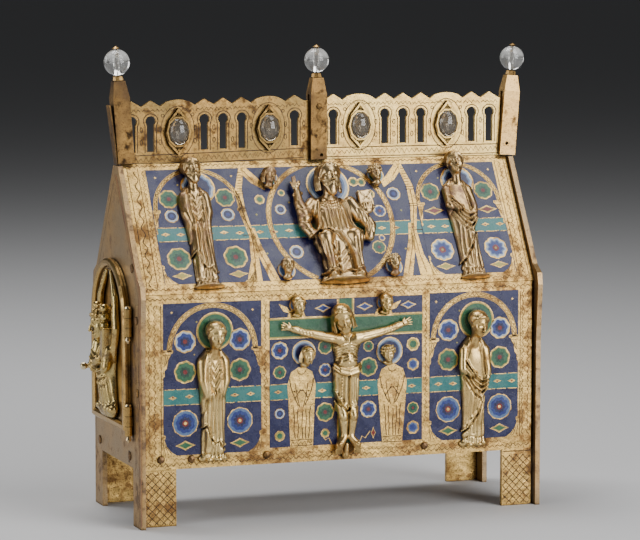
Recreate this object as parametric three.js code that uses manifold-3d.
// A gabled reliquary casket of gilt and enamelled copper plates, standing on legs cut from the
// plates. A pierced crest with posts and rock-crystal beads runs along the ridge, cast figures are
// applied to the front, and an arched door hangs in the left end.
// Millimetres. +X runs along the front to the right, the front faces -Y, +Z is up.
import * as THREE from 'three';
import { mergeVertices } from 'three/addons/utils/BufferGeometryUtils.js';
import Module from 'manifold-3d';

const wasm = await Module();
wasm.setup();

// ---- Driving dimensions: the box ----
const CASKET_WIDTH = 250; // over the outer faces of the end plates
const END_DEPTH = 99; // front edge to back edge of an end plate
const SIDE_INSET = 3.5; // front and back plates stand this far inside the ends' edges
const PLATE = 3;
const GAP = 0.3; // clearance between neighbouring pieces
const LEG_HEIGHT = 34;
const FRONT_LEG_WIDTH = 20;
const END_LEG_WIDTH = 16;
const EAVE_HEIGHT = 136;
const RIDGE_HEIGHT = 208.5;
const RIDGE_HALF = 1; // half the flat on top of the ridge
const BASE_THICKNESS = 2;
const FRONT_PLATE_SHRINK = 1.2; // the front plate falls short of the right end by this much
const GABLE_OVERHANG = 3; // the gables stand above the roof plates by this much
const GABLE_TOP_HALF = 5;
const SHOULDER_BULGE = 2.5; // the ends swell out at the eaves

// ---- Driving dimensions: repaired leg, nails and rivets ----
const REPAIR_LEG_THICKNESS = 2;
const REPAIR_LEG_OVERLAP = 12;
const NAIL_RADIUS = 2.4;
const NAIL_HEIGHT = 1.7;
const FRONT_NAILS = [[-112, 40], [-93.5, 39.5], [-47.5, 39.5], [51.5, 39.5]];
const RIVET_RADIUS = 2.7;
const RIVET_HEIGHT = 0.9;
const END_RIVETS = [[-34, 150.5], [-42.5, 121], [-43.5, 79], [-27, 40], [38, 40]];

// ---- Driving dimensions: crest, posts and beads ----
const CREST_THICKNESS = 2.5;
const CREST_HEIGHT = 35; // ridge to the valleys of the scalloped edge
const SCALLOP_RISE = 3.6;
const SMALL_BAY = 11.6;
const BIG_BAY = 21.4;
const CREST_RHYTHM = ['small', 'big', 'small', 'small', 'small', 'big', 'small', 'small'];
const CREST_START_LEFT = 8.8; // first bay begins this far from the middle
const CREST_START_RIGHT = 4.1;
const CREST_SAG = 2.7; // the old left strip has dropped this much at its far end
const KEYHOLE_RADIUS = 3.3;
const KEYHOLE_SLOT = 4.6;
const KEYHOLE_BOTTOM = 8.5;
const KEYHOLE_HEAD = 26.4;
const POST_WIDTH = 10;
const POST_DEPTH = 9;
const POST_WALL = 1.3;
const POST_HEIGHT = 48.5;
const POST_SHOULDER = 0.8; // the taper begins at this share of the height
const POST_TOP_SCALE = 0.68;
const POST_LEAN = 0.075; // the end posts lean outwards by this slope
const POST_CENTRES = { left: -119.4, centre: -0.3, right: 121.6 };
const SPRUNG_WALL = 0.8;
const SPRUNG_ANGLE = 0.06;
const POST_NAIL = 1.1; // radius of the empty nail holes
const RIVET_SINK = 0.05;
const BEAD_RADII = { left: 8, centre: 7.7, right: 7.6 };
const BEAD_BORE = 1.5;
const BEAD_STEPS = 5;
const COLLAR_RADIUS = 3.3;
const COLLAR_HEIGHT = 2.4;
const PIN_RADIUS = 1;
const CAP_RADIUS = 2.3;
const CAP_HEIGHT = 1.3;

// ---- Driving dimensions: cabochons ----
const SETTING_HALF_WIDTH = 9.2;
const SETTING_HALF_HEIGHT = 13.8;
const SETTING_BASE = 1;
const BEZEL_HEIGHT = 2.6;
const BEZEL_WALL = 1;
const STONE_HALF_WIDTH = 6.2;
const STONE_HALF_HEIGHT = 8;
const STONE_DOME = 5;
const SETTING_CENTRE = 19.8; // above the ridge
const SETTING_BEAD = 1.5;
const SETTING_RIM = 1;
const STONE_REST = 0.6; // the metal left behind the stone

// ---- Driving dimensions: door and hinges ----
const DOOR_CENTRE = 4.5; // from the middle of the end plate towards the back
const DOOR_HALF_WIDTH = 35.5;
const DOOR_SILL = 55;
const DOOR_SPRING = 117.5; // height where the arch begins
const DOOR_THICKNESS = 2;
const DOORWAY_MARGIN = 5;
const RIM_WIDTH = 4.4;
const RIM_HEIGHT = 2.6;
const SILL_HEIGHT = 4.5;
const RIM_ROLL = 1.2; // chamfer that rounds the rim
const RIM_LIP = 0.8; // the rim stands this far over the leaf's edge
const HINGE_RADIUS = 2.3;
const HINGE_BORE = 1.3;
const HINGE_PIN = 1;
const HINGES = { upper: [111, 127], lower: [53, 70] };
const LATCH_HEIGHT = 85;
const LATCH_LENGTH = 7;
const LATCH_RADIUS = 2.4;

// ---- Driving dimensions: applied figures ----
const APOSTLE_HEIGHT = 82;
const APOSTLE_HEAD = 15.5;
const APOSTLE_KNEE = 34; // the mantle's hem
// Stations of each figure below the chin: [height, half width, depth, sideways shift]
const APOSTLE_ROBE = [
  [0, 7.6, 4.2], [20, 7, 4.6], [38, 8, 5.6], [52, 9.2, 6.2], [60, 9, 5.6], [64, 6.4, 4.8],
];
const BODY_APOSTLES = { left: -80.5, right: 82.5 };
const ROOF_APOSTLES = { left: -82, right: 84 };
const BODY_FOOT = 38; // height of the standing figures' feet on the front plate
const ROOF_FOOT = 3; // distance of the roof figures' feet from the eave
const CROSS_X = 1.5;
const SEATED_X = 0.5;
const CROSS_WAIST = 50;
const CROSS_CHIN = 75.5;
const CROSS_HEAD = 15;
const CROSS_HEAD_SHIFT = -3;
const CROSS_BODY = [
  [26, 7, 5.4], [38, 8, 6.4], [50, 8.4, 6.8], [58, 7.2, 5.6], [66, 9, 7], [70, 9.6, 6.6], [73, 6, 5, -1],
];
const SEATED_KNEE = 30;
const SEATED_CHIN = 58;
const SEATED_HEAD = 18;
const SEATED_BODY = [
  [2, 15, 6, 1.5], [10, 13, 6.6, 1.5], [20, 13.5, 8.6, 2], [29, 17.4, 11.4, 2], [36, 13.5, 9.6, 1],
  [44, 12, 8], [51, 13.4, 7.6], [55, 9, 6],
];
const DOOR_KNEE = 16;
const DOOR_CHIN = 44;
const DOOR_HEAD = 20;
const DOOR_BODY = [[2, 15, 5], [12, 12.5, 7.4], [24, 11, 8.4], [34, 12.6, 8], [40, 9, 6]];
const SMALL_HEAD = 10.5;
const MOURNERS = { left: [-24.5, 92.5], right: [27.5, 91.5] };
const WITNESSES = { left: [-29, 122], right: [25.5, 121.5] };
const ROUNDEL_HEADS = {
  upper_left: [-34.5, 68], upper_right: [33.5, 68], lower_left: [-33.5, 8], lower_right: [33.5, 8],
};

// ---- Derived places ----
const END_OUTER = CASKET_WIDTH / 2;
const END_INNER = END_OUTER - PLATE;
const WALL_OUTER = END_DEPTH / 2 - SIDE_INSET;
const WALL_INNER = WALL_OUTER - PLATE;
const SIDE_HALF = END_INNER - GAP;
const ROOF_RUN = WALL_OUTER - RIDGE_HALF;
const ROOF_RISE = RIDGE_HEIGHT - EAVE_HEIGHT;
const ROOF_ANGLE = Math.atan2(ROOF_RUN, ROOF_RISE); // from upright
const CREST_BASE = RIDGE_HEIGHT + GAP;
const ROUND_SIDES = 7;
const FAR = 300; // beyond every face, for cutting away

// ---- Materials ----
function metal(color, roughness) {
  return new THREE.MeshStandardMaterial({ color, roughness, metalness: 1 });
}

const gilt = metal(0xcdb582, 0.38);
const wornGilt = metal(0x9c8462, 0.48);
const dullCopper = metal(0x857460, 0.55);
const brownCopper = metal(0x6d5a47, 0.6);
const enamelledPlate = metal(0x8f8a86, 0.42);
const crystal = new THREE.MeshStandardMaterial({ color: 0xdfe3e4, roughness: 0.06, metalness: 0 });

// ---- Solids: three.js geometry into manifold and back ----
function toSolid(geometry) {
  const bare = geometry.clone();
  bare.deleteAttribute('normal');
  bare.deleteAttribute('uv');
  const merged = mergeVertices(bare, 1e-4);
  return new wasm.Manifold(new wasm.Mesh({
    numProp: 3,
    vertProperties: new Float32Array(merged.attributes.position.array),
    triVerts: new Uint32Array(merged.index.array),
  }));
}

function toGeometry(solid) {
  const mesh = solid.getMesh();
  const geometry = new THREE.BufferGeometry();
  geometry.setAttribute('position', new THREE.BufferAttribute(new Float32Array(mesh.vertProperties), 3));
  geometry.setIndex(new THREE.BufferAttribute(new Uint32Array(mesh.triVerts), 1));
  return geometry;
}

function join(geometries) {
  return geometries.map(toSolid).reduce((sum, solid) => sum.add(solid));
}

const root = new THREE.Group();

function piece(name, geometry, material) {
  const mesh = new THREE.Mesh(geometry, material);
  mesh.name = name;
  root.add(mesh);
  return mesh;
}

// ---- Basic forms ----
function box(low, high) {
  const size = high.map((value, axis) => value - low[axis]);
  const geometry = new THREE.BoxGeometry(...size);
  return geometry.translate(...low.map((value, axis) => value + size[axis] / 2));
}

function ellipsoid(centre, radii, sides = 8, rings = 6) {
  const geometry = new THREE.SphereGeometry(1, sides, rings);
  geometry.rotateX(Math.PI / 2);
  return geometry.scale(...radii).translate(...centre);
}

function polygon(points) {
  return new THREE.Shape(points.map(([x, y]) => new THREE.Vector2(x, y)));
}

// A plate whose outline is drawn in x and z, from y = front to y = front + thickness.
function uprightPlate(shape, front, thickness, curveSegments = ROUND_SIDES) {
  const geometry = new THREE.ExtrudeGeometry(shape, { depth: thickness, bevelEnabled: false, curveSegments });
  return geometry.rotateX(Math.PI / 2).translate(0, front + thickness, 0);
}

// A plate whose outline is drawn in y and z, from x = left to x = left + thickness.
function endwisePlate(shape, left, thickness, options = {}) {
  const settings = { depth: thickness, bevelEnabled: false, curveSegments: ROUND_SIDES, ...options };
  const turn = new THREE.Matrix4().makeBasis(
    new THREE.Vector3(0, 1, 0),
    new THREE.Vector3(0, 0, 1),
    new THREE.Vector3(1, 0, 0),
  );
  return new THREE.ExtrudeGeometry(shape, settings).applyMatrix4(turn).translate(left, 0, 0);
}

// A skin over a stack of rings that all have the same number of points.
function loft(rings) {
  const count = rings[0].length;
  const last = (rings.length - 1) * count;
  const indices = [];
  for (let start = 0; start < last; start += count) {
    for (let i = 0; i < count; i += 1) {
      const next = start + ((i + 1) % count);
      indices.push(start + i, next, next + count, start + i, next + count, start + i + count);
    }
  }
  for (let i = 1; i + 1 < count; i += 1) {
    indices.push(0, i + 1, i, last, last + i, last + i + 1);
  }
  const geometry = new THREE.BufferGeometry();
  geometry.setAttribute('position', new THREE.Float32BufferAttribute(rings.flat(2), 3));
  geometry.setIndex(indices);
  return geometry;
}

// A limb along points [x, y, z], with a radius at each.
function limb(points, radii, sides = 6) {
  const rings = points.map((point, row) => {
    const before = points[Math.max(row - 1, 0)];
    const after = points[Math.min(row + 1, points.length - 1)];
    const heading = Math.atan2(after[2] - before[2], after[0] - before[0]);
    return Array.from({ length: sides }, (_, i) => {
      const angle = (2 * Math.PI * i) / sides;
      const across = radii[row] * Math.cos(angle);
      return [
        point[0] + across * Math.sin(heading),
        point[1] + radii[row] * Math.sin(angle),
        point[2] - across * Math.cos(heading),
      ];
    });
  });
  return loft(rings);
}

// ---- Reliefs: x across, z up, the face towards -y and a flat back at y = 0 ----
const RELIEF_EDGE = 1.2;
const ROWS_PER_SPAN = 1.25;

// A relief through stations [height, half width, depth, sideways shift], carved by
// carving(u, z) in mm, where u runs from -1 at the left edge to 1 at the right edge.
function relief(stations, carving, columns = 8, rowsPerSpan = ROWS_PER_SPAN) {
  const asSize = ([z, half, depth]) => new THREE.Vector3(z, half, depth);
  const asShift = ([z, , , shift = 0]) => new THREE.Vector3(z, shift, 0);
  const sizes = new THREE.CatmullRomCurve3(stations.map(asSize));
  const shifts = new THREE.CatmullRomCurve3(stations.map(asShift));
  const rows = Math.round((stations.length - 1) * rowsPerSpan);
  const rings = [];
  for (let row = 0; row <= rows; row += 1) {
    const { x: z, y: half, z: depth } = sizes.getPoint(row / rows);
    const middle = shifts.getPoint(row / rows).y;
    const ring = [[middle + half, 0, z], [middle - half, 0, z]];
    for (let column = 0; column <= columns; column += 1) {
      const u = -Math.cos((Math.PI * column) / columns);
      const round = Math.sqrt(Math.max(0, 1 - u * u));
      const carved = (depth - RELIEF_EDGE + carving(u, z)) * round;
      ring.push([middle + half * u, -RELIEF_EDGE - carved, z]);
    }
    rings.push(ring);
  }
  return loft(rings);
}

// The stations of a head above its neck, chin first.
function headStations(chin, size, shift = 0) {
  return [
    [chin - size * 0.12, size * 0.26, size * 0.42, shift],
    [chin + size * 0.05, size * 0.3, size * 0.66, shift],
    [chin + size * 0.35, size * 0.42, size * 0.82, shift],
    [chin + size * 0.72, size * 0.43, size * 0.8, shift],
    [chin + size * 0.94, size * 0.26, size * 0.6, shift],
    [chin + size, size * 0.1, size * 0.4, shift],
  ];
}

// Nose and brow of a head, and nothing below the chin.
function faceCarving(u, z, chin, size) {
  const h = (z - chin) / size;
  if (h < 0) return 0;
  const nose = 0.1 * size * Math.exp(-((u / 0.25) ** 2) - ((h - 0.45) / 0.14) ** 2);
  const brow = 0.04 * size * Math.exp(-(((h - 0.66) / 0.08) ** 2));
  return nose + brow;
}

// Upright flutes of a skirt that give way above to the curved folds of a mantle.
function mantleCarving(u, z, skirtTop, size) {
  const skirt = THREE.MathUtils.smoothstep(skirtTop - z, -size * 0.05, size * 0.1);
  const swags = 0.55 * Math.sin(Math.PI * ((8 * z) / size - 1.6 * u * u + 1.2 * u));
  return skirt * fluteCarving(u) + (1 - skirt) * swags;
}

function fluteCarving(u) {
  return 0.8 * Math.cos(3 * Math.PI * u);
}

function flatBacked(geometries) {
  const behind = toSolid(box([-FAR, 0, -FAR], [FAR, FAR, FAR]));
  return toGeometry(join(geometries).subtract(behind));
}

function nailDome(radius, height, sides = 7) {
  const profilePoints = [[0, 0], [radius, 0], [radius * 0.8, height * 0.65], [0, height]];
  const dome = new THREE.LatheGeometry(profilePoints.map(([x, y]) => new THREE.Vector2(x, y)), sides);
  return dome.rotateX(Math.PI); // stands out towards -y after the turn
}

// ---- Places on the four faces that carry reliefs ----
function onFront(mesh, x, z) {
  mesh.position.set(x, -WALL_OUTER - GAP, z);
  return mesh;
}

function onRoof(mesh, x, distance) {
  const lift = GAP;
  mesh.rotation.x = -ROOF_ANGLE;
  mesh.position.set(
    x,
    -WALL_OUTER + distance * Math.sin(ROOF_ANGLE) - lift * Math.cos(ROOF_ANGLE),
    EAVE_HEIGHT + distance * Math.cos(ROOF_ANGLE) + lift * Math.sin(ROOF_ANGLE),
  );
  return mesh;
}

// ---- Walls ----
function sideOutline(leftLeg) {
  const right = SIDE_HALF;
  const top = EAVE_HEIGHT - GAP;
  const legEdge = -SIDE_HALF + FRONT_LEG_WIDTH;
  const leftFoot = leftLeg
    ? [[-SIDE_HALF, 0], [legEdge, 0], [legEdge, LEG_HEIGHT]]
    : [[-SIDE_HALF, LEG_HEIGHT]];
  return polygon([
    [right, 0], [right, top], [-SIDE_HALF, top], ...leftFoot,
    [right - FRONT_LEG_WIDTH, LEG_HEIGHT], [right - FRONT_LEG_WIDTH, 0],
  ]);
}

function buildFrontPlate() {
  const plate = toSolid(uprightPlate(sideOutline(false), -WALL_OUTER, PLATE));
  const trimmed = box([SIDE_HALF - FRONT_PLATE_SHRINK, -FAR, -FAR], [FAR, FAR, FAR]);
  piece('front_plate', toGeometry(plate.subtract(toSolid(trimmed))), enamelledPlate);
}

function buildRepairedLeg() {
  const left = -SIDE_HALF;
  const front = -WALL_INNER + GAP;
  const low = [left, front, 0];
  const high = [left + FRONT_LEG_WIDTH, front + REPAIR_LEG_THICKNESS, LEG_HEIGHT + REPAIR_LEG_OVERLAP];
  piece('leg_front_left', box(low, high), gilt);
}

function buildBackPlate() {
  const plate = uprightPlate(sideOutline(true), WALL_INNER, PLATE);
  piece('back_plate', plate, dullCopper);
}

function gableOutline() {
  const half = END_DEPTH / 2;
  const slope = ROOF_RISE / ROOF_RUN;
  const raise = GABLE_OVERHANG / Math.sin(ROOF_ANGLE);
  const gableZ = (y) => EAVE_HEIGHT + (WALL_OUTER - y) * slope + raise;
  const shoulder = half + SHOULDER_BULGE;
  const frontHalf = [
    [half - END_LEG_WIDTH, LEG_HEIGHT], [half - END_LEG_WIDTH, 0], [half, 0], [half, 100],
    [shoulder - 0.6, 126], [shoulder, 134], [shoulder - 1.4, 141],
    [half - 6, gableZ(half - 6)], [GABLE_TOP_HALF, gableZ(GABLE_TOP_HALF)],
  ];
  const backHalf = frontHalf.map(([y, z]) => [-y, z]).reverse();
  return polygon([...frontHalf, ...backHalf]);
}

function archedOutline(centre, halfWidth, bottom, spring) {
  const shape = new THREE.Shape();
  shape.moveTo(centre - halfWidth, bottom);
  shape.lineTo(centre + halfWidth, bottom);
  shape.lineTo(centre + halfWidth, spring);
  shape.absarc(centre, spring, halfWidth, 0, Math.PI, false);
  shape.closePath();
  return shape;
}

function buildEndPlates() {
  const doorway = archedOutline(
    DOOR_CENTRE, DOOR_HALF_WIDTH - DOORWAY_MARGIN, DOOR_SILL + DOORWAY_MARGIN, DOOR_SPRING,
  );
  const left = gableOutline();
  left.holes.push(doorway);
  piece('left_end_plate', endwisePlate(left, -END_OUTER, PLATE), dullCopper);
  piece('right_end_plate', endwisePlate(gableOutline(), END_INNER, PLATE), dullCopper);
}

function buildBasePlate() {
  const x = SIDE_HALF;
  const y = WALL_INNER - GAP;
  const top = LEG_HEIGHT + BASE_THICKNESS;
  const floor = toSolid(box([-x, -y, LEG_HEIGHT], [x, y, top]));
  const notchFront = -WALL_OUTER;
  const notchBack = -WALL_INNER + REPAIR_LEG_THICKNESS + 2 * GAP;
  const notch = box([-FAR, notchFront, -FAR], [-x + FRONT_LEG_WIDTH + GAP, notchBack, FAR]);
  piece('base_plate', toGeometry(floor.subtract(toSolid(notch))), brownCopper);
}

function roofSection(side) {
  const inset = PLATE / Math.cos(ROOF_ANGLE);
  const slope = ROOF_RISE / ROOF_RUN;
  const half = GAP / 2;
  const innerTop = EAVE_HEIGHT + (WALL_OUTER - inset - half) * slope;
  const points = [
    [WALL_OUTER, EAVE_HEIGHT], [RIDGE_HALF, RIDGE_HEIGHT], [half, RIDGE_HEIGHT],
    [half, innerTop], [WALL_OUTER - inset, EAVE_HEIGHT],
  ];
  return polygon(points.map(([y, z]) => [side * y, z]));
}

function buildRoof() {
  const width = 2 * SIDE_HALF;
  piece('roof_front_plate', endwisePlate(roofSection(-1), -SIDE_HALF, width), enamelledPlate);
  piece('roof_back_plate', endwisePlate(roofSection(1), -SIDE_HALF, width), dullCopper);
}

// ---- Crest ----
function bayWidth(kind) {
  return kind === 'big' ? BIG_BAY : SMALL_BAY;
}

// Points of the scalloped edge from the first bay outwards, as [distance from the middle, height].
function scallopedEdge(start) {
  const points = [];
  let edge = start;
  CREST_RHYTHM.forEach((kind) => {
    const width = bayWidth(kind);
    const steps = kind === 'big' ? 6 : 2;
    for (let i = 0; i < steps; i += 1) {
      const t = i / steps;
      const swell = kind === 'big' ? Math.sin(Math.PI * t) ** 0.6 : 2 * t;
      points.push([edge + width * t, CREST_HEIGHT + SCALLOP_RISE * swell]);
    }
    edge += width;
  });
  points.push([edge, CREST_HEIGHT]);
  return points;
}

function keyhole(centre) {
  const hole = new THREE.Path();
  const half = KEYHOLE_SLOT / 2;
  const neck = Math.asin(half / KEYHOLE_RADIUS);
  hole.moveTo(centre - half, KEYHOLE_BOTTOM);
  hole.lineTo(centre + half, KEYHOLE_BOTTOM);
  hole.absarc(centre, KEYHOLE_HEAD, KEYHOLE_RADIUS, neck - Math.PI / 2, 1.5 * Math.PI - neck, false);
  hole.closePath();
  return hole;
}

function bayCentres(start, wanted) {
  const centres = [];
  let edge = start;
  CREST_RHYTHM.forEach((kind) => {
    const width = bayWidth(kind);
    if (kind === wanted) centres.push(edge + width / 2);
    edge += width;
  });
  return centres;
}

// The strip runs on behind the posts at both ends.
function crestGeometry(start) {
  const edge = scallopedEdge(start);
  const far = edge[edge.length - 1][0] + 1.2;
  const shape = polygon([
    [GAP / 2, 0], [far, 0], [far, CREST_HEIGHT], ...edge.reverse(), [GAP / 2, CREST_HEIGHT],
  ]);
  shape.holes.push(...bayCentres(start, 'small').map(keyhole));
  return uprightPlate(shape, -CREST_THICKNESS / 2, CREST_THICKNESS, 4).translate(0, 0, CREST_BASE);
}

// The left strip is the same pattern turned over, sunk towards its outer end.
function sagAt(distance) {
  return (CREST_SAG * Math.max(0, distance - CREST_START_LEFT)) / END_OUTER;
}

function sunkCrest() {
  const geometry = crestGeometry(CREST_START_LEFT).rotateZ(Math.PI);
  const position = geometry.attributes.position;
  for (let i = 0; i < position.count; i += 1) {
    const sunk = position.getZ(i) - sagAt(-position.getX(i));
    position.setZ(i, Math.max(CREST_BASE, sunk));
  }
  return geometry;
}

function buildCrest() {
  piece('crest_left', sunkCrest(), wornGilt);
  piece('crest_right', crestGeometry(CREST_START_RIGHT), gilt);
}

// ---- Posts, beads and pins, each made upright at the origin ----
function taperedBar(halfWidth, halfDepth, topHeight, shoulderHeight) {
  const levels = [[0, 1], [shoulderHeight, 1], [topHeight, POST_TOP_SCALE]];
  return loft(levels.map(([z, scale]) => {
    const x = halfWidth * scale;
    const y = halfDepth * scale;
    return [[x, -y, z], [x, y, z], [-x, y, z], [-x, -y, z]];
  }));
}

function cylinder(radius, low, high, sides = 8) {
  const geometry = new THREE.CylinderGeometry(radius, radius, high - low, sides);
  return geometry.rotateX(Math.PI / 2).translate(0, 0, (low + high) / 2);
}

// A sleeve folded from sheet, open below, that straddles the crest on the sides given.
function postSolid(slots) {
  const shoulder = POST_HEIGHT * POST_SHOULDER;
  const outer = toSolid(taperedBar(POST_WIDTH / 2, POST_DEPTH / 2, POST_HEIGHT, shoulder));
  const hollow = taperedBar(
    POST_WIDTH / 2 - POST_WALL, POST_DEPTH / 2 - POST_WALL, POST_HEIGHT - POST_WALL, shoulder,
  );
  const slotHalf = CREST_THICKNESS / 2 + GAP;
  const slotTop = CREST_HEIGHT + SCALLOP_RISE;
  const reach = POST_WIDTH / 2 + 1;
  const cuts = [
    hollow.translate(0, 0, -GAP),
    cylinder(PIN_RADIUS + GAP, POST_HEIGHT - 5, POST_HEIGHT + 1),
    ...slots.map((side) => box(
      [Math.min(0, side * reach), -slotHalf, -1],
      [Math.max(0, side * reach), slotHalf, slotTop],
    )),
  ];
  return outer.subtract(join(cuts));
}

function nailHole(x, z) {
  const hole = new THREE.CylinderGeometry(POST_NAIL, POST_NAIL, 3 * POST_WALL, 8);
  return toSolid(hole.translate(x, -POST_DEPTH / 2, z));
}

function postRivet(z) {
  const dome = nailDome(RIVET_RADIUS * 0.7, RIVET_HEIGHT * 1.3);
  return toSolid(dome.translate(0, -POST_DEPTH / 2 + RIVET_SINK, z));
}

// The outer side wall of the left post has sprung away from the sleeve.
function sprungWall() {
  const length = POST_HEIGHT * 0.72;
  const half = POST_DEPTH * 0.4;
  const wall = box([-SPRUNG_WALL, -half, 0], [0, half, length]);
  const foot = -POST_WIDTH / 2 + SPRUNG_WALL * 0.45;
  return toSolid(wall.rotateY(-SPRUNG_ANGLE).translate(foot, 0, 0));
}

function setUp(mesh, side, slope) {
  mesh.position.set(POST_CENTRES[side], 0, CREST_BASE);
  mesh.rotation.y = slope;
  return mesh;
}

function turned(points, sides = 8) {
  const geometry = new THREE.LatheGeometry(points.map(([x, y]) => new THREE.Vector2(x, y)), sides);
  return geometry.rotateX(Math.PI / 2);
}

function beadAndPin(side, slope) {
  const radius = BEAD_RADII[side];
  const seat = POST_HEIGHT + GAP;
  const mouth = Math.sqrt(radius ** 2 - BEAD_BORE ** 2); // from the bead's centre to its bored ends
  const centre = seat + COLLAR_HEIGHT + GAP + mouth;
  const poleAngle = Math.asin(BEAD_BORE / radius);
  const arc = Array.from({ length: BEAD_STEPS + 1 }, (_, i) => {
    const angle = poleAngle + ((Math.PI - 2 * poleAngle) * i) / BEAD_STEPS;
    return [radius * Math.sin(angle), centre - radius * Math.cos(angle)];
  });
  setUp(piece(`crystal_${side}`, turned([...arc, arc[0]], 10), crystal), side, slope);
  const cap = centre + mouth + GAP;
  const pin = turned([
    [0, seat - 4], [PIN_RADIUS, seat - 4], [PIN_RADIUS, seat], [COLLAR_RADIUS, seat],
    [COLLAR_RADIUS * 0.85, seat + COLLAR_HEIGHT], [PIN_RADIUS, seat + COLLAR_HEIGHT],
    [PIN_RADIUS, cap], [CAP_RADIUS, cap], [0, cap + CAP_HEIGHT],
  ]);
  setUp(piece(`finial_pin_${side}`, pin, gilt), side, slope);
}

function buildPosts() {
  const leanLeft = -POST_LEAN;
  const left = postSolid([1]).add(sprungWall());
  setUp(piece('post_left', toGeometry(left), brownCopper), 'left', leanLeft);
  const centre = postSolid([1, -1]).subtract(nailHole(1.6, 2.6)).add(postRivet(31.5));
  setUp(piece('post_centre', toGeometry(centre), wornGilt), 'centre', 0);
  const right = postSolid([-1]).subtract(nailHole(-1, 7));
  setUp(piece('post_right', toGeometry(right), gilt), 'right', POST_LEAN);
  beadAndPin('left', leanLeft);
  beadAndPin('centre', 0);
  beadAndPin('right', POST_LEAN);
}

// ---- Cabochons ----
function almond(halfWidth, halfHeight) {
  const shape = new THREE.Shape();
  shape.moveTo(0, -halfHeight);
  shape.quadraticCurveTo(1.72 * halfWidth, -halfHeight * 0.1, 0, halfHeight);
  shape.quadraticCurveTo(-1.72 * halfWidth, -halfHeight * 0.1, 0, -halfHeight);
  return shape;
}

function oval(halfWidth, halfHeight) {
  const shape = new THREE.Shape();
  shape.absellipse(0, 0, halfWidth, halfHeight, 0, 2 * Math.PI, false, 0);
  return shape;
}

function settingGeometry() {
  const bezelOuter = oval(STONE_HALF_WIDTH + GAP + BEZEL_WALL, STONE_HALF_HEIGHT + GAP + BEZEL_WALL);
  const stoneSeat = oval(STONE_HALF_WIDTH + GAP, STONE_HALF_HEIGHT + GAP);
  const base = almond(SETTING_HALF_WIDTH, SETTING_HALF_HEIGHT);
  const rimInner = almond(SETTING_HALF_WIDTH - SETTING_RIM, SETTING_HALF_HEIGHT - 1.9 * SETTING_RIM);
  const rim = almond(SETTING_HALF_WIDTH, SETTING_HALF_HEIGHT);
  rim.holes.push(rimInner);
  const beads = [1, -1].map((side) => {
    const height = side * (SETTING_HALF_HEIGHT - 2.6);
    return toSolid(ellipsoid([0, -SETTING_BASE, height], [SETTING_BEAD, SETTING_BEAD, SETTING_BEAD], 5, 4));
  });
  const solid = toSolid(uprightPlate(base, -SETTING_BASE, SETTING_BASE, 4))
    .add(toSolid(uprightPlate(rim, -SETTING_BASE - SETTING_RIM, 1.5 * SETTING_RIM, 4)))
    .add(toSolid(uprightPlate(bezelOuter, -BEZEL_HEIGHT, BEZEL_HEIGHT - STONE_REST / 2, 5)))
    .add(beads[0]).add(beads[1])
    .subtract(toSolid(uprightPlate(stoneSeat, -FAR, FAR - STONE_REST, 5)));
  const behind = toSolid(box([-FAR, 0, -FAR], [FAR, FAR, FAR]));
  return toGeometry(solid.subtract(behind));
}

function stoneGeometry() {
  const back = -STONE_REST - GAP;
  const dome = ellipsoid([0, back, 0], [STONE_HALF_WIDTH, STONE_DOME, STONE_HALF_HEIGHT], 10, 6);
  const behind = box([-FAR, back, -FAR], [FAR, FAR, FAR]);
  return toGeometry(toSolid(dome).subtract(toSolid(behind)));
}

function buildCabochons() {
  const setting = settingGeometry();
  const stone = stoneGeometry();
  const places = [
    ...bayCentres(CREST_START_LEFT, 'big').map((distance) => [-distance, sagAt(distance)]).reverse(),
    ...bayCentres(CREST_START_RIGHT, 'big').map((distance) => [distance, 0]),
  ];
  places.forEach(([x, sag], i) => {
    const place = [x, -CREST_THICKNESS / 2 - GAP, CREST_BASE + SETTING_CENTRE - sag];
    piece(`cabochon_setting_${i + 1}`, setting, wornGilt).position.set(...place);
    piece(`cabochon_${i + 1}`, stone, crystal).position.set(...place);
  });
}

// ---- Nails and rivets ----
function buildFasteners() {
  const nail = nailDome(NAIL_RADIUS, NAIL_HEIGHT);
  FRONT_NAILS.forEach(([x, z], i) => {
    onFront(piece(`front_nail_${i + 1}`, nail, brownCopper), x, z);
  });
  const rivet = nailDome(RIVET_RADIUS, RIVET_HEIGHT);
  END_RIVETS.forEach(([y, z], i) => {
    const mesh = piece(`end_rivet_${i + 1}`, rivet, dullCopper);
    mesh.rotation.z = -Math.PI / 2;
    mesh.position.set(-END_OUTER - GAP, y, z);
  });
}

// ---- Standing figures ----
function apostleRelief() {
  const chin = APOSTLE_HEIGHT - APOSTLE_HEAD;
  const stations = [...APOSTLE_ROBE, ...headStations(chin, APOSTLE_HEAD)];
  const carving = (u, z) => (z > chin
    ? faceCarving(u, z, chin, APOSTLE_HEAD)
    : mantleCarving(u, z, APOSTLE_KNEE, APOSTLE_HEIGHT));
  return relief(stations, carving);
}

// On the front plate two rivets hold the feet.
function footRivets() {
  return [-1, 1].map((side) => ellipsoid([side * 7, -0.6, 1.4], [2, 2, 2], 6, 4));
}

// On the roof each figure stands on a small crescent ledge.
function crescent(halfWidth, depth, x = 0, z = 0.4) {
  return ellipsoid([x, 0, z], [halfWidth, depth, 1.5], 12, 4);
}

function buildApostles() {
  const bodyFigure = flatBacked([apostleRelief(), ...footRivets()]);
  const roofFigure = flatBacked([apostleRelief(), crescent(9.4, 6)]);
  Object.entries(BODY_APOSTLES).forEach(([side, x]) => {
    onFront(piece(`apostle_body_${side}`, bodyFigure, gilt), x, BODY_FOOT);
  });
  Object.entries(ROOF_APOSTLES).forEach(([side, x]) => {
    onRoof(piece(`apostle_roof_${side}`, roofFigure, gilt), x, ROOF_FOOT);
  });
}

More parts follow.
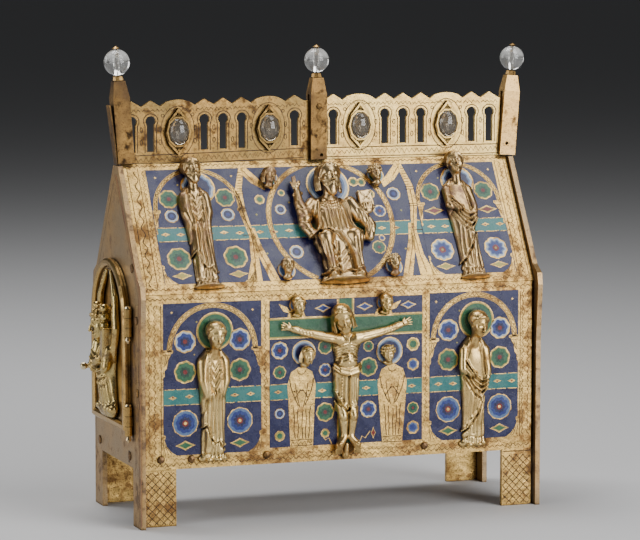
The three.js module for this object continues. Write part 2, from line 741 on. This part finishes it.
// ---- The figure on the cross ----
function outstretchedArm(side) {
  const path = [
    [side * 5, -4, 68], [side * 14, -4.4, 70.5], [side * 25, -4, 73.5], [side * 34, -3, 76.5],
  ];
  const hand = ellipsoid([side * 37.2, -2.6, 77.4], [4.4, 1.4, 2.6], 5, 4);
  return [limb(path, [4, 3, 2.3, 1.8]), hand];
}

function lowerLeg(side, hip, knee, ankle) {
  const foot = ankle + side * 1.6;
  const path = [[hip, -4, 30], [knee, -4.6, 22], [ankle, -4, 8], [foot, -4.6, 1.6]];
  const rivet = ellipsoid([foot, -6.6, 4.6], [1.6, 1.6, 1.6], 5, 4);
  return [limb(path, [3.6, 3.3, 2.3, 2.6]), rivet];
}

function crossCarving(u, z) {
  if (z > CROSS_CHIN) return faceCarving(u, z, CROSS_CHIN, CROSS_HEAD);
  if (z < CROSS_WAIST) return fluteCarving(u);
  return 0.3 * Math.sin(1.6 * z);
}

function buildCrucified() {
  const stations = [...CROSS_BODY, ...headStations(CROSS_CHIN, CROSS_HEAD, CROSS_HEAD_SHIFT)];
  const belt = limb([[-7.8, -4, 52.5], [0, -6.6, 51.5], [7.8, -4, 52.5]], [1.6, 1.7, 1.6]);
  const heel = limb([[0.6, -1.8, -1], [0.6, -2.6, 9]], [2.2, 3]);
  const parts = [
    relief(stations, crossCarving), belt, heel, ...outstretchedArm(-1), ...outstretchedArm(1),
    ...lowerLeg(-1, -3.4, -3.2, -3.6), ...lowerLeg(1, 3.6, 4.6, 4.8),
  ];
  onFront(piece('crucified_figure', flatBacked(parts), gilt), CROSS_X, BODY_FOOT - 1);
}

// ---- The seated figure in the almond frame ----
function seatedCarving(u, z) {
  if (z > SEATED_CHIN) return faceCarving(u, z, SEATED_CHIN, SEATED_HEAD);
  if (z < SEATED_KNEE) return fluteCarving(u) * 1.4;
  return mantleCarving(u, z, SEATED_KNEE, SEATED_CHIN);
}

function buildSeated() {
  const stations = [...SEATED_BODY, ...headStations(SEATED_CHIN, SEATED_HEAD)];
  const cape = relief([[27, 3.6, 4, 22], [38, 5, 5.4, 21], [50, 3, 4, 15]], fluteCarving, 6);
  const sleeve = relief([[33, 3, 4, -17], [42, 6, 6.4, -18], [50, 4, 5, -11]], fluteCarving, 6);
  const parts = [
    relief(stations, seatedCarving), cape, sleeve,
    limb([[-18, -5.5, 42], [-20, -6, 52], [-19.6, -5.4, 61], [-19.4, -5, 68]], [4.6, 3.4, 2.4, 1.6]),
    box([17.6, -8.2, 46], [26.4, -3.6, 58]),
    ellipsoid([22, -6.5, 46], [4, 3, 3]),
    crescent(16, 9, 1.5, 2.2),
  ];
  onRoof(piece('seated_figure', flatBacked(parts), wornGilt), SEATED_X, ROOF_FOOT - 1);
}

// ---- Small applied heads ----
function buildSmallHeads() {
  const carving = (u, z) => faceCarving(u, z, 0, SMALL_HEAD);
  const smallHead = relief(headStations(0, SMALL_HEAD), carving, 6, 1);
  Object.entries(MOURNERS).forEach(([side, place]) => {
    onFront(piece(`mourner_head_${side}`, smallHead, gilt), ...place);
  });
  Object.entries(WITNESSES).forEach(([side, place]) => {
    onFront(piece(`witness_head_${side}`, smallHead, gilt), ...place);
  });
  Object.entries(ROUNDEL_HEADS).forEach(([corner, place]) => {
    onRoof(piece(`roundel_head_${corner}`, smallHead, wornGilt), ...place);
  });
}

// ---- Door, turning about the hinge axis near its front edge ----
const DOOR_BACK = -END_OUTER - GAP;
const DOOR_FACE = DOOR_BACK - DOOR_THICKNESS;
const HINGE_X = -END_OUTER - GAP - HINGE_RADIUS;
const HINGE_Y = DOOR_CENTRE - DOOR_HALF_WIDTH - HINGE_RADIUS - GAP;

function hingeCylinder(radius, low, high, sides = 8) {
  return cylinder(radius, low, high, sides).translate(HINGE_X, HINGE_Y, 0);
}

// A knuckle with a short foot: towards the door when it moves, towards the wall when it is fixed.
function knuckle(low, high, moving) {
  const foot = moving
    ? box([DOOR_FACE + 0.2, HINGE_Y, low], [DOOR_BACK - 0.2, HINGE_Y + HINGE_RADIUS + GAP + 1, high])
    : box([HINGE_X, HINGE_Y - 1, low], [DOOR_BACK, HINGE_Y + 1, high]);
  return join([hingeCylinder(HINGE_RADIUS, low, high), foot]);
}

function knuckleLevels([low, high]) {
  const third = (high - low) / 3;
  return [low, low + third, high - third, high];
}

function doorSolid() {
  const leafHalf = DOOR_HALF_WIDTH - RIM_LIP;
  const leafShape = archedOutline(DOOR_CENTRE, leafHalf, DOOR_SILL + RIM_LIP, DOOR_SPRING);
  const leaf = toSolid(endwisePlate(leafShape, DOOR_FACE, DOOR_THICKNESS));
  const rimShape = archedOutline(DOOR_CENTRE, DOOR_HALF_WIDTH, DOOR_SILL, DOOR_SPRING);
  const inner = DOOR_HALF_WIDTH - RIM_WIDTH;
  rimShape.holes.push(archedOutline(DOOR_CENTRE, inner, DOOR_SILL + SILL_HEIGHT, DOOR_SPRING));
  const roll = {
    bevelEnabled: true,
    bevelThickness: RIM_ROLL,
    bevelSize: RIM_ROLL,
    bevelOffset: -RIM_ROLL,
    bevelSegments: 1,
  };
  const rimFront = DOOR_FACE - RIM_HEIGHT + RIM_ROLL;
  const rim = toSolid(endwisePlate(rimShape, rimFront, RIM_HEIGHT - RIM_ROLL, roll));
  const bore = toSolid(hingeCylinder(HINGE_BORE, 0, EAVE_HEIGHT));
  let solid = leaf.add(rim);
  Object.values(HINGES).forEach((span) => {
    const [low, lowThird, highThird, high] = knuckleLevels(span);
    solid = solid.add(knuckle(low, lowThird - GAP, true));
    solid = solid.add(knuckle(highThird + GAP, high, true));
  });
  const behind = toSolid(box([DOOR_BACK, -FAR, -FAR], [FAR, FAR, FAR]));
  return solid.subtract(bore).subtract(behind);
}

function buildHinges() {
  const bore = toSolid(hingeCylinder(HINGE_BORE, 0, EAVE_HEIGHT));
  Object.entries(HINGES).forEach(([name, span]) => {
    const [low, lowThird, highThird, high] = knuckleLevels(span);
    const fixed = knuckle(lowThird, highThird, false).subtract(bore);
    piece(`hinge_knuckle_${name}`, toGeometry(fixed), wornGilt);
    const pin = turned([
      [0, low - 4.4], [1.7, low - 2.4], [1.1, low - GAP], [HINGE_PIN, low - GAP],
      [HINGE_PIN, high + GAP], [1.9, high + GAP], [1.5, high + 1.4], [0, high + 1.9],
    ]);
    piece(`hinge_pin_${name}`, pin.translate(HINGE_X, HINGE_Y, 0), gilt);
  });
}

function onDoor(mesh, y, z) {
  mesh.rotation.z = -Math.PI / 2;
  mesh.position.set(DOOR_FACE - GAP, y, z);
  return mesh;
}

function doorCarving(u, z) {
  if (z > DOOR_CHIN) return faceCarving(u, z, DOOR_CHIN, DOOR_HEAD);
  return 1.4 * mantleCarving(u, z, DOOR_KNEE, DOOR_CHIN);
}

function buildDoorFigure() {
  const stations = [...DOOR_BODY, ...headStations(DOOR_CHIN, DOOR_HEAD)];
  const wing = (side) => limb(
    [[side * 11, -2, 34], [side * 17.5, -2, 52], [side * 15, -1.8, 70], [side * 4, -1.6, 84]],
    [3, 3, 2.4, 1.2],
  );
  const curls = [-1, 1].map((side) => ellipsoid([side * 7, -9, 58], [3.4, 4, 6], 6, 5));
  const parts = [
    relief(stations, doorCarving), wing(-1), wing(1), ...curls,
    box([7, -9.6, 33], [13.5, -3, 52]),
    limb([[-10, -5, 40], [-9, -9, 28], [4, -9.8, 34]], [4.4, 4, 2.6]),
    ellipsoid([0, -2, 3.4], [17, 7, 5], 10, 5),
  ];
  const foot = DOOR_SILL + SILL_HEIGHT + 2;
  onDoor(piece('door_figure', flatBacked(parts), wornGilt), DOOR_CENTRE - 1.5, foot);
}

function buildDoor() {
  piece('door', toGeometry(doorSolid()), wornGilt);
  const tip = LATCH_LENGTH;
  const half = LATCH_RADIUS;
  const peg = turned([
    [0, 0], [half * 0.7, 0], [half * 0.55, tip * 0.4], [half, tip * 0.62], [half * 0.8, tip * 0.9], [0, tip],
  ]).rotateX(Math.PI / 2);
  const y = DOOR_CENTRE + DOOR_HALF_WIDTH - RIM_WIDTH / 2;
  const mesh = onDoor(piece('latch_peg', peg, gilt), y, LATCH_HEIGHT);
  mesh.position.x -= RIM_HEIGHT;
}

buildFrontPlate();
buildRepairedLeg();
buildBackPlate();
buildEndPlates();
buildBasePlate();
buildRoof();
buildCrest();
buildPosts();
buildCabochons();
buildFasteners();
buildApostles();
buildCrucified();
buildSeated();
buildSmallHeads();
buildHinges();
buildDoor();
buildDoorFigure();

// The origin is the middle of the underside of the whole casket.
const bounds = new THREE.Box3().setFromObject(root);
root.position.set(-(bounds.min.x + bounds.max.x) / 2, -(bounds.min.y + bounds.max.y) / 2, -bounds.min.z);

export default root;
